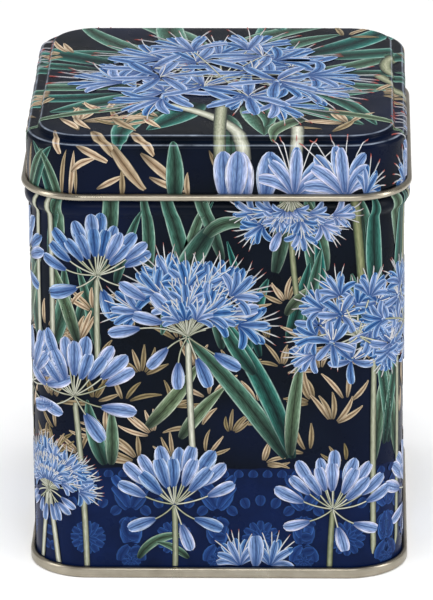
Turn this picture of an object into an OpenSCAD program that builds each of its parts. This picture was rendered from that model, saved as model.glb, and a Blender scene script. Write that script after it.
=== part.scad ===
// Square spice tin with rounded upright corners, a slip lid and a plug lid under it.
// Drawn and folded from tinplate. Millimetres, Z up, origin under the middle of the base.

/* [Body] */
// Width and depth of the wall, outside face to outside face
body_w = 65; // [50:1:90]
// Radius of the upright corners on the outside face
corner_r = 9.8; // [8:0.1:14]
// Height of the whole tin with its lid on
total_h = 81.7; // [70:0.1:110]
// Thickness of the printed tinplate
plate_t = 0.3; // [0.25:0.01:0.32]

/* [Base] */
// Height of the rolled seam round the base
seam_h = 1.95; // [1.9:0.05:2.2]
// Air left between the folds of the rolled seam
fold_gap = 0.03; // [0.02:0.01:0.04]
// Height of the base panel's upper face above the shelf
panel_z = 2.5; // [2.3:0.1:4]
// Radius of the ring that stiffens the base panel
panel_ring_r = 19; // [10:1:20]

/* [Lid] */
// Depth of the lid's skirt, from its curled edge to its shoulder
lid_depth = 10; // [9:0.1:12]
// Gap between the wall and the skirt that slides over it
lid_fit = 0.1; // [0.05:0.05:0.2]
// Radius of the curled edge
lid_curl_r = 0.65; // [0.6:0.05:0.75]
// Radius of the shoulder
shoulder_r = 0.8; // [0.6:0.1:1]
// Height of the raised panel above the shoulder
step_h = 1.3; // [1.2:0.1:1.6]
// How far the raised panel's wall stands in from the skirt
step_in = 2.2; // [2:0.1:3]

/* [Mouth] */
// How far the stop bead stands out from the wall
bead_out = 0.85; // [0.6:0.05:1]
// Half the height of the stop bead
bead_half = 1.7; // [1.5:0.1:2]
// Radius of the hem that is rolled inwards round the mouth
hem_r = 0.55; // [0.5:0.05:0.6]
// Width of the folded seam down the back
side_seam_w = 4; // [3:0.5:6]

/* [Plug lid] */
// Depth of the plug lid's pan below the mouth
pan_depth = 7.2; // [7:0.1:9]
// Radius of the grip knob's head
knob_r = 5.5; // [4.5:0.5:7]
// Height of the grip knob above the pan
knob_h = 5.8; // [5.2:0.1:6.5]

/* [Hidden] */
$fn = 96;
straight = body_w - 2 * corner_r;
lap = 0.5;                                 // how far a flat panel runs into the swept edge that holds it
slit = 0.08;                               // opening left where a rolled edge comes back to its own wall

chuck_x = -plate_t - fold_gap;             // outer face of the base's upstand, against the wall
panel_bend_r = 0.9;
seam_out = 3 * (plate_t + fold_gap);
seam_round = 0.45;
body_hook_x = 2 * fold_gap + plate_t;
body_hook_top = seam_h - plate_t - 3 * fold_gap - 0.2;

shoulder_z = total_h - step_h;
lid_edge_z = shoulder_z - lid_depth;
lid_out = lid_fit + plate_t;
riser_x = lid_out - step_in;
foot_r = 0.35;
crest_r = 0.5;

bead_z = lid_edge_z - bead_half;
bead_r = (bead_half * bead_half + bead_out * bead_out) / (2 * bead_out);

rest_gap = 0.05;
rim_r = 0.35;
mouth_z = shoulder_z - plate_t - 2 * rim_r - 3 * rest_gap;
plug_x = -2 * hem_r - 0.1;                 // outer face of the plug's wall
rim_x = lid_fit - 0.2 - rim_r;
flange_z = mouth_z + rest_gap;
flange_bend_r = 0.3;
pan_bend_r = 1.2;
pan_z = mouth_z - pan_depth;

knob_z = pan_z + plate_t;
rivet_r = 1.2;
rivet_tail = 0.6;

// Carries a flat section once round the wall's outline.
// The section's X is the distance out from the wall's outer face, its Y is the height.
module round_the_wall() {
    for (side = [0:3]) rotate(90 * side) {
        translate([body_w / 2, straight / 2, 0]) rotate([90, 0, 0]) linear_extrude(straight) children();
        translate([straight / 2, straight / 2, 0]) rotate_extrude(angle = 90)
            translate([corner_r, 0]) children();
    }
}

// A flat panel of the wall's outline, pulled in by -x, from height z up.
module panel(x, z, thickness) {
    half = body_w / 2 + x;
    r = corner_r + x;
    translate([0, 0, z]) linear_extrude(thickness) union() {
        square([2 * half, 2 * (half - r)], center = true);
        square([2 * (half - r), 2 * half], center = true);
        for (sx = [-1, 1], sy = [-1, 1]) translate([sx * (half - r), sy * (half - r)]) circle(r);
    }
}

// Straight piece of a section, from corner to corner.
module strip(x0, y0, x1, y1) {
    translate([x0, y0]) square([x1 - x0, y1 - y0]);
}

// Quarter bend of a section about (x, y), of outer radius r; quadrant 0 lies up and out.
module bend(x, y, r, quadrant) {
    translate([x, y]) rotate(90 * quadrant) intersection() {
        difference() {
            circle(r);
            circle(r - plate_t);
        }
        square(r + 1);
    }
}

// Hollow rolled edge of radius r centred on (x, y), left open at the slit beside x = cut.
module rolled_edge(x, y, r, cut, away) {
    difference() {
        translate([x, y]) circle(r);
        translate([x, y]) circle(r - plate_t);
        translate([cut, y + away * r / 2]) square([slit, r + 2 * slit], center = true);
    }
}

// Rectangle with rounded corners of radius r.
module soft_box(x0, y0, x1, y1, r) {
    strip(x0 + r, y0, x1 - r, y1);
    strip(x0, y0 + r, x1, y1 - r);
    for (x = [x0 + r, x1 - r], y = [y0 + r, y1 - r]) translate([x, y]) circle(r);
}

module wall_section() {
    // foot, turned out and up into the rolled seam
    strip(-plate_t, plate_t + fold_gap, body_hook_x + plate_t, 2 * plate_t + fold_gap);
    strip(body_hook_x, plate_t + fold_gap, body_hook_x + plate_t, body_hook_top);
    strip(-plate_t, plate_t + fold_gap, 0, bead_z - bead_half);
    // stop bead, an arc pressed outwards
    intersection() {
        translate([bead_out - bead_r, bead_z]) difference() {
            circle(bead_r);
            circle(bead_r - plate_t);
        }
        strip(-plate_t, bead_z - bead_half, bead_out + 1, bead_z + bead_half);
    }
    // neck and its rolled hem
    strip(-plate_t, bead_z + bead_half, 0, mouth_z - hem_r);
    rolled_edge(-hem_r, mouth_z - hem_r, hem_r, -plate_t - slit / 2, -1);
}

module body_wall() {
    color([0.09, 0.14, 0.32]) union() {
        round_the_wall() wall_section();
        // lock seam down the back, folded to the inside
        translate([-side_seam_w / 2, body_w / 2 - 3 * plate_t, panel_z + 1])
            cube([side_seam_w, 2.5 * plate_t, bead_z - bead_half - panel_z - 1.5]);
    }
}

module base_section() {
    difference() {
        soft_box(chuck_x - plate_t, 0, seam_out, seam_h, seam_round);
        strip(chuck_x, plate_t, fold_gap, seam_h + 1);
        strip(chuck_x, plate_t, body_hook_x + plate_t + fold_gap, 2 * (plate_t + fold_gap));
        strip(body_hook_x - fold_gap, plate_t, body_hook_x + plate_t + fold_gap, body_hook_top + fold_gap);
    }
    strip(chuck_x - plate_t, seam_round, chuck_x, panel_z - panel_bend_r);
    bend(chuck_x - panel_bend_r, panel_z - panel_bend_r, panel_bend_r, 0);
    strip(chuck_x - panel_bend_r - lap, panel_z - plate_t, chuck_x - panel_bend_r, panel_z);
}

module base_end() {
    ring_r = 1.2;
    color([0.72, 0.68, 0.58]) difference() {
        union() {
            round_the_wall() base_section();
            panel(chuck_x - panel_bend_r, panel_z - plate_t, plate_t);
            translate([0, 0, panel_z - plate_t]) rotate_extrude() translate([panel_ring_r, 0])
                intersection() {
                    circle(ring_r);
                    strip(-ring_r, 0, ring_r, ring_r);
                }
        }
        translate([0, 0, panel_z - plate_t]) rotate_extrude() translate([panel_ring_r, 0])
            circle(ring_r - plate_t);
    }
}

module lid_section() {
    curl_x = lid_fit + lid_curl_r;
    curl_z = lid_edge_z + lid_curl_r;
    rolled_edge(curl_x, curl_z, lid_curl_r, lid_out + slit / 2, 1);
    strip(lid_fit, curl_z, lid_out, shoulder_z - shoulder_r);
    bend(lid_out - shoulder_r, shoulder_z - shoulder_r, shoulder_r, 0);
    strip(riser_x + foot_r, shoulder_z - plate_t, lid_out - shoulder_r, shoulder_z);
    bend(riser_x + foot_r, shoulder_z + foot_r, foot_r + plate_t, 2);
    strip(riser_x - plate_t, shoulder_z + foot_r, riser_x, total_h - crest_r);
    bend(riser_x - crest_r, total_h - crest_r, crest_r, 0);
    strip(riser_x - crest_r - lap, total_h - plate_t, riser_x - crest_r, total_h);
}

module lid() {
    color([0.20, 0.32, 0.55]) union() {
        round_the_wall() lid_section();
        panel(riser_x - crest_r, total_h - plate_t, plate_t);
    }
}

module plug_section() {
    translate([rim_x, flange_z + rim_r]) circle(rim_r);
    strip(plug_x + flange_bend_r, flange_z, rim_x, flange_z + plate_t);
    bend(plug_x + flange_bend_r, flange_z - flange_bend_r, flange_bend_r + plate_t, 1);
    strip(plug_x - plate_t, pan_z + pan_bend_r, plug_x, flange_z - flange_bend_r);
    bend(plug_x - pan_bend_r, pan_z + pan_bend_r, pan_bend_r, 3);
    strip(plug_x - pan_bend_r - lap, pan_z, plug_x - pan_bend_r, pan_z + plate_t);
}

module plug_lid() {
    color([0.80, 0.78, 0.72]) difference() {
        union() {
            round_the_wall() plug_section();
            panel(plug_x - pan_bend_r, pan_z, plate_t);
        }
        translate([0, 0, pan_z - 1]) cylinder(r = rivet_r, h = plate_t + 2);
    }
}

// Turned knob: foot, waist and round-edged head above the pan, riveted over below it.
module grip_knob() {
    foot_t = 0.7;
    waist_r = 2.6;
    edge_r = 1.1;
    head_z = knob_z + knob_h - 2 * edge_r;
    color([0.74, 0.74, 0.74]) rotate_extrude() {
        strip(0, pan_z - rivet_tail, 2 * rivet_r, pan_z);
        strip(0, pan_z - rivet_tail, rivet_r, knob_z);
        strip(0, knob_z, waist_r + 1.2, knob_z + foot_t);
        strip(0, knob_z, waist_r, head_z + edge_r);
        strip(0, head_z, knob_r - edge_r, head_z + 2 * edge_r);
        translate([knob_r - edge_r, head_z + edge_r]) circle(edge_r);
    }
}

body_wall();
base_end();
lid();
plug_lid();
grip_knob();
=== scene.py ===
import math

import bmesh
import bpy
import numpy as np
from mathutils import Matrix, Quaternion, Vector


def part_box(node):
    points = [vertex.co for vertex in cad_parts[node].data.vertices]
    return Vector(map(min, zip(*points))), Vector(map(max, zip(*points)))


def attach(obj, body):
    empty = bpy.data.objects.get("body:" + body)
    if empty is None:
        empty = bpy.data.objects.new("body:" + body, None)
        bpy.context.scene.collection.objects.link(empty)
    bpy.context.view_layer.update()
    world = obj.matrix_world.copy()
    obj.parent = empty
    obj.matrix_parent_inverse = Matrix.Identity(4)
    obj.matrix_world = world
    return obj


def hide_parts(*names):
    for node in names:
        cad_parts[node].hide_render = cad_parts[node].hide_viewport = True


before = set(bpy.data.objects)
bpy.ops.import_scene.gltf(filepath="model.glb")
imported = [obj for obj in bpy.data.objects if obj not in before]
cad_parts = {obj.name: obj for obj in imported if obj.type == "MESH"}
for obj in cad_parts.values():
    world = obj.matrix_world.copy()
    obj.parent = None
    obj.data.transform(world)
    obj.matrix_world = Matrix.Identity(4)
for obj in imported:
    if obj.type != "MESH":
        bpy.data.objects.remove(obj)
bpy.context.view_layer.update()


# ---- Studio ----
# A plain pale floor that curves up behind the tin, and soft lamps: a large one above, a tall one on each
# side that draws a pale line down each corner, and a weak one in front. The camera is long and looks down.
CAMERA_AWAY = 0.9474
CAMERA_DOWN = math.radians(20.47)
CAMERA_ROLL = -0.007
CAMERA_TURN = 0.027
CAMERA_SINK = 0.00479
CAMERA_LEFT = 0.00075
LENS_MM = 317.3
AIM = np.array([0.0, 0.0, 0.045])

scene = bpy.context.scene
scene.view_settings.view_transform = "Standard"


def placed(name, data):
    """A new object that holds data, linked to the scene."""
    thing = bpy.data.objects.new(name, data)
    scene.collection.objects.link(thing)
    return thing


lens = bpy.data.cameras.new("camera")
lens.lens = LENS_MM
lens.clip_start = 0.01
camera = placed("camera", lens)
away = np.array([0.0, -math.cos(CAMERA_DOWN), math.sin(CAMERA_DOWN)])
image_up = np.array([0.0, math.sin(CAMERA_DOWN), math.cos(CAMERA_DOWN)])
turned_about = Quaternion((0.0, 0.0, 1.0), CAMERA_TURN)
place = AIM + CAMERA_AWAY * away - CAMERA_SINK * image_up - (CAMERA_LEFT, 0.0, 0.0)
camera.location = turned_about @ Vector(place)
camera.rotation_mode = "QUATERNION"
camera.rotation_quaternion = (
    turned_about
    @ Quaternion((1.0, 0.0, 0.0), math.pi / 2 - CAMERA_DOWN)
    @ Quaternion((0.0, 0.0, 1.0), CAMERA_ROLL)
)
scene.camera = camera


def soft_lamp(name, place, size, watts):
    """A rectangular lamp at place that faces the middle of the tin."""
    data = bpy.data.lights.new(name, "AREA")
    data.shape = "RECTANGLE"
    data.size, data.size_y = size
    data.energy = watts
    lamp = placed(name, data)
    lamp.location = place
    lamp.rotation_mode = "QUATERNION"
    lamp.rotation_quaternion = Vector(AIM - np.array(place)).to_track_quat("-Z", "Y")
    return lamp


lamp_above = soft_lamp("lamp_above", (0.0, -0.10, 0.75), (0.7, 0.6), 5.0)
lamp_above.visible_glossy = False
soft_lamp("lamp_left", (-0.62, -0.22, 0.22), (0.16, 0.60), 2.0)
soft_lamp("lamp_right", (0.62, -0.22, 0.22), (0.16, 0.60), 2.0)
soft_lamp("lamp_front", (0.10, -0.95, 0.55), (0.5, 0.4), 3.2)

world = bpy.data.worlds.new("room")
world.use_nodes = True
world.node_tree.nodes["Background"].inputs["Color"].default_value = (1.0, 1.0, 1.0, 1.0)
world.node_tree.nodes["Background"].inputs["Strength"].default_value = 0.41
scene.world = world


def material(name):
    """A new node material: its tree, and the Principled shader that ends it."""
    made = bpy.data.materials.new(name)
    made.use_nodes = True
    return made, made.node_tree, made.node_tree.nodes["Principled BSDF"]


def feed(tree, made, inputs):
    """Gives a node its inputs: a socket's name or number leads to a value, or to a socket to link."""
    for key, value in inputs.items():
        if isinstance(value, bpy.types.NodeSocket):
            tree.links.new(value, made.inputs[key])
        else:
            made.inputs[key].default_value = value


def node(tree, kind, inputs=None, **settings):
    """A new shader node of that kind with those inputs and settings."""
    made = tree.nodes.new(kind)
    for key, value in settings.items():
        setattr(made, key, value)
    feed(tree, made, inputs or {})
    return made


def noise(tree, place, scale, detail=3.0, stretch=(1.0, 1.0, 1.0)):
    """Soft noise from 0 to 1 on the coordinates place, stretched along each axis, as a socket."""
    mapped = node(tree, "ShaderNodeMapping", {"Vector": place, "Scale": stretch})
    return node(
        tree, "ShaderNodeTexNoise", {"Vector": mapped.outputs[0], "Scale": scale, "Detail": detail}
    ).outputs["Fac"]


def between(tree, value, low, high):
    """value's stretch from 0.25 to 0.75, where soft noise lies, spread from low to high."""
    ends = {"Value": value, "From Min": 0.25, "From Max": 0.75, "To Min": low, "To Max": high}
    return node(tree, "ShaderNodeMapRange", ends).outputs[0]


def own_place(tree):
    """The place on the piece itself, in its own metres."""
    return node(tree, "ShaderNodeTexCoord").outputs["Object"]


def grey(tree, share):
    """The grey that has that share of each colour."""
    return node(tree, "ShaderNodeCombineColor", {"Red": share, "Green": share, "Blue": share}).outputs[0]


def floor_finish():
    """Pale matt card with a very faint mottle."""
    made, tree, shader = material("pale_card")
    share = between(tree, noise(tree, own_place(tree), 12.0), 0.93, 0.96)
    feed(tree, shader, {"Base Color": grey(tree, share), "Roughness": 0.9})
    return made


def floor_sweep():
    """A floor strip carried to the back, up a quarter turn of radius 1 m, and on up as a wall."""
    turn = np.linspace(0.0, math.pi / 2, 25)
    back = np.concatenate([[-3.0], 1.5 + np.sin(turn), [2.5]])
    up = np.concatenate([[0.0], 1.0 - np.cos(turn), [4.0]])
    side = np.array([-4.0, 4.0])
    grid = np.stack(
        [np.tile(side, (len(back), 1)), np.repeat(back[:, None], 2, 1), np.repeat(up[:, None], 2, 1)], -1
    )
    row = np.arange(len(back) - 1)[:, None] * 2
    faces = row + np.array([0, 1, 3, 2])
    mesh = bpy.data.meshes.new("floor")
    mesh.from_pydata(grid.reshape(-1, 3), [], faces.tolist())
    mesh.polygons.foreach_set("use_smooth", np.ones(len(faces), bool))
    mesh.materials.append(floor_finish())
    return placed("floor", mesh)


floor_sweep()


# ---- Wall ----
# One printed tinplate blank, bent square with round corners and locked by a folded seam down the back.
# Its foot is flanged into the bottom seam, a bead stops the lid, and the mouth is rolled in to a hem.
MM = 0.001
PLATE = 0.3
FOLD_GAP = 0.03
CORNER_R = 9.8
BEAD_OUT = 0.85
BEAD_HALF = 1.95
HEM_R = 0.55
HEM_TURN = 310.0
CORNER_STEPS = 30
MIDDLE_RING = 0.4
WALL_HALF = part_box("body_wall")[1][0] / MM - BEAD_OUT
MOUTH_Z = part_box("body_wall")[1][2] / MM
LID_EDGE_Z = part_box("lid")[0][2] / MM
BEAD_Z = LID_EDGE_Z - 1.7
STRAIGHT = 2 * (WALL_HALF - CORNER_R)
SIDE = STRAIGHT + CORNER_R * math.pi / 2
LID_INK = 0.22
LID_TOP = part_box("lid")[1][2] / MM - LID_INK
# Heights of the lid's crest and its shoulder, where thin broken pale lines are painted highlights in the
# print's colour.
HIGHLIGHT_LINE_HEIGHTS = (LID_TOP - 0.15, LID_TOP - 1.25)
FOLD = PLATE + FOLD_GAP


def wall_line(s):
    """The wall's outline at the distance s round it from the middle of the front, as points and outward
    directions. Each side is a straight with half a corner at each end, turned by a quarter from the last."""
    quarter = np.floor(s / SIDE + 0.5)
    along = s - quarter * SIDE
    beyond = np.maximum(np.abs(along) - STRAIGHT / 2, 0.0)
    lean = np.sign(along) * beyond / CORNER_R
    x = np.clip(along, -STRAIGHT / 2, STRAIGHT / 2) + CORNER_R * np.sin(lean)
    y = -(STRAIGHT / 2 + CORNER_R * np.cos(lean))
    turn = quarter * math.pi / 2
    cos, sin = np.cos(turn), np.sin(turn)
    out_x, out_y = np.sin(lean + turn), -np.cos(lean + turn)
    return np.stack([x * cos - y * sin, x * sin + y * cos], -1), np.stack([out_x, out_y], -1)


def bent(x, z, heading, *moves):
    """The middle line of a folded sheet, as a bending machine makes it. It starts at (x, z) and heads that
    many degrees up from straight out. A number is a straight run; (degrees, radius) is a turn to the left."""
    place, angle = np.array([x, z]), math.radians(heading)
    line = [place[None]]
    for move in moves:
        if isinstance(move, tuple):
            turn, radius = math.radians(move[0]), move[1] * math.copysign(1.0, move[0])
            t = angle + turn * np.linspace(0.0, 1.0, max(3, int(abs(move[0]) / 9)) + 1)
            arc = radius * np.stack([np.sin(t) - math.sin(angle), math.cos(angle) - np.cos(t)], -1)
            line.append(place + arc[1:])
            angle += turn
        else:
            t = np.linspace(0.0, 1.0, max(1, int(move / 2.0)) + 1)[1:, None]
            line.append(place + move * t * np.array([math.cos(angle), math.sin(angle)]))
        place = line[-1][-1]
    return np.concatenate(line)


def sheet_section(line, from_middle=False):
    """The outline of a sheet of the plate's thickness on that middle line: the line moved half a plate to
    its right, a half-round end, and the line moved to its left, run backwards. A line that starts in the
    middle of a panel stays open there, and any other is closed by a second half-round end."""
    steps = np.diff(line, axis=0)
    steps /= np.linalg.norm(steps, axis=1, keepdims=True)
    heading = np.concatenate([steps[:1], steps[1:] + steps[:-1], steps[-1:]])
    heading /= np.linalg.norm(heading, axis=1, keepdims=True)
    right = np.stack([heading[:, 1], -heading[:, 0]], -1) * PLATE / 2

    def round_end(i, forward):
        t = np.linspace(0.0, math.pi, 7)[1:-1, None]
        return line[i] + forward * (np.cos(t) * right[i] + np.sin(t) * heading[i] * PLATE / 2)

    parts = [line + right, round_end(-1, 1.0), (line - right)[::-1]]
    if not from_middle:
        parts.append(round_end(0, -1.0))
    return np.concatenate(parts)


def stations():
    """Distances round the wall at which a section is placed: the ends and eighths of each straight, and
    even steps round each corner."""
    straight = np.linspace(-STRAIGHT / 2, STRAIGHT / 2, 9)
    corner = STRAIGHT / 2 + np.linspace(0.0, 1.0, CORNER_STEPS + 1)[1:-1] * (SIDE - STRAIGHT)
    one_side = np.concatenate([straight, corner])
    return (one_side + SIDE * np.arange(4)[:, None]).ravel()


def carried_round(section, panel_from=None, round_from=None):
    """A section (distance out from the wall, height) carried round the outline, as a grid of points.
    Inside panel_from the rings turn smoothly into circles, which they are from round_from to the middle."""
    point, outward = wall_line(stations())
    x, z = section[:, 0], section[:, 1]
    ring = point[:, None] + x[None, :, None] * outward[:, None]
    if panel_from is not None:
        t = np.clip((panel_from - x) / (panel_from - round_from), 0.0, 1.0)
        share = (t * t * (3 - 2 * t))[None, :, None]
        compass = point / np.linalg.norm(point, axis=1, keepdims=True)
        ring = (1 - share) * ring + share * (WALL_HALF + x)[None, :, None] * compass[:, None]
    return np.concatenate([ring, np.broadcast_to(z[None, :, None], ring.shape[:2] + (1,))], -1)


def ring_faces(rounds, across, closed):
    """Quads of a grid that closes round the wall, and also across the section if closed."""
    i = np.arange(rounds)[:, None]
    j = np.arange(across if closed else across - 1)[None]
    i2, j2 = (i + 1) % rounds, (j + 1) % across
    quads = [i * across + j, i2 * across + j, i2 * across + j2, i * across + j2]
    return np.stack(np.broadcast_arrays(*quads), -1).reshape(-1, 4)


def fan(rounds, across, column, pole):
    """Triangles from one column of such a grid, its first or its last, to the point numbered pole."""
    here = np.arange(rounds) * across + column
    after = np.roll(here, -1)
    return np.stack(([here, after] if column else [after, here]) + [np.full(rounds, pole)], -1).tolist()


def piece(name, points, faces, finishes, face_finish=None):
    """A smooth-shaded mesh object from points in millimetres."""
    mesh = bpy.data.meshes.new(name)
    mesh.from_pydata(np.asarray(points).reshape(-1, 3) * MM, [], faces)
    mesh.polygons.foreach_set("use_smooth", np.ones(len(mesh.polygons), bool))
    for finish in finishes:
        mesh.materials.append(finish)
    if face_finish is not None:
        mesh.polygons.foreach_set("material_index", np.asarray(face_finish, np.int32))
    return placed(name, mesh)


def facing_out(faces, points):
    """The same faces, turned over if the closed shape they make would be inside out. Its volume tells: the
    sum, over the two triangles of each face, of the first corner's dot with the cross of the others."""
    quads = np.array([f if len(f) == 4 else f + f[-1:] for f in faces])
    a, b, c, d = (points[quads[:, k]] for k in range(4))
    volume = (a * np.cross(b, c)).sum() + (a * np.cross(c, d)).sum()
    return faces if volume > 0 else [f[::-1] for f in faces]


def sheet_piece(name, section, finishes, bare=None, **panel):
    """A folded sheet carried round the wall. bare says, for each point of the section, whether the stretch
    after it takes the second finish. A section that starts in the middle of the tin stays open there, and a
    fan of triangles ends each of its two faces; any other closes into a ring."""
    grid = carried_round(section, **panel)
    rounds, across = grid.shape[:2]
    to_middle = WALL_HALF + section[0, 0] < 2 * MIDDLE_RING
    points = grid.reshape(-1, 3)
    faces = ring_faces(rounds, across, not to_middle).tolist()
    bare = np.zeros(across, int) if bare is None else bare.astype(int)
    finish = np.tile(bare[:-1] if to_middle else bare, rounds)
    if to_middle:
        for column in (0, across - 1):
            faces += fan(rounds, across, column, len(points))
            points = np.concatenate([points, [[0.0, 0.0, section[column, 1]]]])
            finish = np.concatenate([finish, np.full(rounds, bare[column])])
    return piece(name, points, facing_out(faces, points), finishes, finish)


def reckoned(tree, operation, *values):
    """The result of one sum on numbers or sockets."""
    return node(tree, "ShaderNodeMath", dict(enumerate(values)), operation=operation).outputs[0]


def spread(tree, value, low, high, most=1.0):
    """0 where value is low, most where it is high, in proportion between them, and level past both."""
    ends = {"Value": value, "From Min": low, "From Max": high, "To Max": most}
    return node(tree, "ShaderNodeMapRange", ends).outputs[0]


def relief(tree, height, strength, distance, **below):
    """Bumps of that strength and distance in millimetres, on top of the ones below."""
    inputs = {"Height": height, "Strength": strength, "Distance": distance * MM, **below}
    return node(tree, "ShaderNodeBump", inputs).outputs[0]


def varnished(tree, shader, colour, place):
    """Ends a print: colour under clear varnish, with a faint orange peel and the sheet's slow waviness. Thin
    broken pale lines along the lid's crest and its shoulder are painted highlights, standing in for
    reflections there."""
    height = node(tree, "ShaderNodeSeparateXYZ", {0: place}).outputs["Z"]
    highlight_breaks = between(tree, noise(tree, place, 420.0, 5.0), 0.05, 0.5)
    # Painted highlight: thin broken lines of pale paint(176, 188, 206) mixed into the colour at the crest and
    # shoulder heights.
    for edge in HIGHLIGHT_LINE_HEIGHTS:
        off = reckoned(tree, "ABSOLUTE", reckoned(tree, "SUBTRACT", height, edge * MM))
        near = spread(tree, off, 0.13 * MM, 0.03 * MM)
        colour = mixed(tree, reckoned(tree, "MULTIPLY", near, highlight_breaks), colour, paint(176, 188, 206))
    gloss = between(tree, noise(tree, place, 260.0, 4.0), 0.24, 0.36)
    peel = relief(tree, noise(tree, place, 2200.0, 2.0), 0.05, 0.02)
    waves = relief(tree, noise(tree, place, 70.0, 1.0), 0.25, 0.2, Normal=peel)
    feed(tree, shader, {
        "Base Color": colour, "Roughness": gloss, "Normal": waves, "Specular IOR Level": 0.055, "IOR": 1.5,
    })


def paint(red, green, blue):
    """A print colour given in the usual 0 to 255, as the linear light that a shader takes."""
    share = np.array([red, green, blue]) / 255.0
    return (*np.where(share < 0.04045, share / 12.92, ((share + 0.055) / 1.055) ** 2.4), 1.0)


def mixed(tree, share, first, second, blend="MIX"):
    """The two colours mixed; each is a colour or a socket."""
    made = node(tree, "ShaderNodeMix", {0: share, 6: first, 7: second}, data_type="RGBA", blend_type=blend)
    return made.outputs[2]


def ground_print(name, low_band_top=None):
    """Dark ground of the print: blue-black with navy washes, and royal navy up to low_band_top."""
    made, tree, shader = material(name)
    place = own_place(tree)
    dark = mixed(tree, between(tree, noise(tree, place, 130.0, 5.0), 0.0, 1.0),
                 paint(3, 7, 13), paint(8, 16, 29))
    wash = spread(tree, noise(tree, place, 28.0, 2.0), 0.5, 0.68, 0.8)
    dark = mixed(tree, wash, dark, paint(7, 18, 46))
    if low_band_top is not None:
        height = node(tree, "ShaderNodeSeparateXYZ", {0: place}).outputs["Z"]
        wander = between(tree, noise(tree, place, 220.0), -0.2 * MM, 0.2 * MM)
        edge = reckoned(tree, "ADD", height, wander)
        low = spread(tree, edge, (low_band_top + 0.1) * MM, (low_band_top - 0.1) * MM)
        navy = mixed(tree, between(tree, noise(tree, place, 160.0, 5.0), 0.0, 1.0),
                     paint(6, 17, 44), paint(10, 27, 66))
        dark = mixed(tree, low, dark, navy)
    varnished(tree, shader, dark, place)
    return made


def tinplate(name, light, dark, smooth, rough):
    """Bare tinplate: a soft metal grain, drawing lines that run round the tin, and smudged gloss."""
    made, tree, shader = material(name)
    place = own_place(tree)
    grain = noise(tree, place, 300.0, 6.0)
    lines = noise(tree, place, 1.0, 3.0, (60.0, 60.0, 9000.0))
    tone = between(tree, reckoned(tree, "MULTIPLY", reckoned(tree, "ADD", grain, lines), 0.5), 0.0, 1.0)
    smudge = between(tree, noise(tree, place, 90.0, 4.0), smooth, rough)
    feed(tree, shader, {
        "Base Color": mixed(tree, tone, dark, light), "Roughness": smudge,
        "Normal": relief(tree, lines, 0.25, 0.02), "Metallic": 1.0,
    })
    return made


LOW_BAND_TOP = 20.5
wall_print = ground_print("wall_ground", LOW_BAND_TOP)
inside_tin = tinplate("inside_tinplate", paint(205, 200, 186), paint(170, 165, 150), 0.25, 0.45)
FLANGE_TOP = 1.26
FLANGE_RUN = 0.45
BEAD_CREST_SHARE = 0.58
hook_x = 1.5 * PLATE + 2 * FOLD_GAP
bead_lean = 2 * math.degrees(math.atan(BEAD_OUT / BEAD_HALF))
bead_arcs = BEAD_OUT / (1 - math.cos(math.radians(bead_lean)))
bead_crest_r = BEAD_CREST_SHARE * bead_arcs
wall_middle = bent(
    hook_x, FLANGE_TOP, -90.0,
    FLANGE_RUN,
    (-180.0, FOLD),
    BEAD_Z - BEAD_HALF - (FLANGE_TOP - FLANGE_RUN),
    (-bead_lean, bead_arcs - bead_crest_r),
    (2 * bead_lean, bead_crest_r),
    (-bead_lean, bead_arcs - bead_crest_r),
    MOUTH_Z - HEM_R - BEAD_Z - BEAD_HALF,
    (HEM_TURN, HEM_R - PLATE / 2),
)
wall_section = sheet_section(wall_middle)
half_count = len(wall_middle)
wall_bare = np.ones(len(wall_section), bool)
on_outside = (wall_section[1:, 1] > 1.5) & (wall_section[:-1, 1] < MOUTH_Z - 1.3 * HEM_R)
wall_bare[:half_count][on_outside[:half_count]] = False
body_wall = sheet_piece("body_wall_printed", wall_section, [wall_print, inside_tin], wall_bare)
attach(body_wall, "tin_body")
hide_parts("body_wall")


# ---- Wall print ----
# Agapanthus heads over strap leaves and willow sprigs, painted mark by mark in opaque inks and varnished.
# Each mark is a thin film, under 0.4 mm above the ground, with its edges let into the plate.
INK_STEP = 0.0004
ROOT_DEPTH = 0.08
GOLDEN_ANGLE = 2.39996
STEM_HEIGHT = 0.148
PRINT_TOP = 73.0
PRINT_FOOT = 2.05
# What each kind of mark is: its finish, its points along and across, and how its width swells and falls.
KINDS = ("damask", "leaf", "sprig", "stem", "petal", "stamen")
ALONG = {"damask": 7, "leaf": 34, "sprig": 9, "stem": 16, "petal": 10, "stamen": 6}
ACROSS = {"damask": 3, "leaf": 5, "sprig": 3, "stem": 3, "petal": 5, "stamen": 2}
SWELL = {
    "damask": (0.8, 0.6), "leaf": (0.5, 0.8), "sprig": (0.9, 1.1),
    "stem": (0.03, 0.03), "petal": (0.85, 0.5), "stamen": (0.05, 0.04),
}


class Sheet:
    """The marks of one printed sheet in the order they are painted: each lies a little above the one
    before, and a new group starts again at its own height."""

    def __init__(self, seed):
        self.rng = np.random.default_rng(seed)
        self.marks = []
        self.height = 0.0

    def group(self, height):
        self.height = height

    def mark(self, kind, x, y, heading, length, width, turn=0.0, tone=0.5):
        """A mark from (x, y) that heads heading degrees up from the right and turns evenly by turn."""
        self.marks.append((KINDS.index(kind), x, y, heading, length, width / 2, turn, tone, self.height))
        self.height += INK_STEP

    def jitter(self, amount):
        return self.rng.uniform(-amount, amount)

    def rows(self, flip=1):
        """All the marks, one to a row; flip of -1 mirrors them left to right."""
        rows = np.array(self.marks)
        if flip < 0:
            rows[:, [1, 6]] *= -1
            rows[:, 3] = 180 - rows[:, 3]
        return rows


def curve_end(x, y, heading, length, turn):
    """Where an even curve of that length ends: the integral of a heading that turns evenly."""
    start, swing = math.radians(heading), math.radians(turn) + 1e-6
    return (
        x + length * (math.sin(start + swing) - math.sin(start)) / swing,
        y - length * (math.cos(start + swing) - math.cos(start)) / swing,
        heading + turn,
    )


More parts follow.
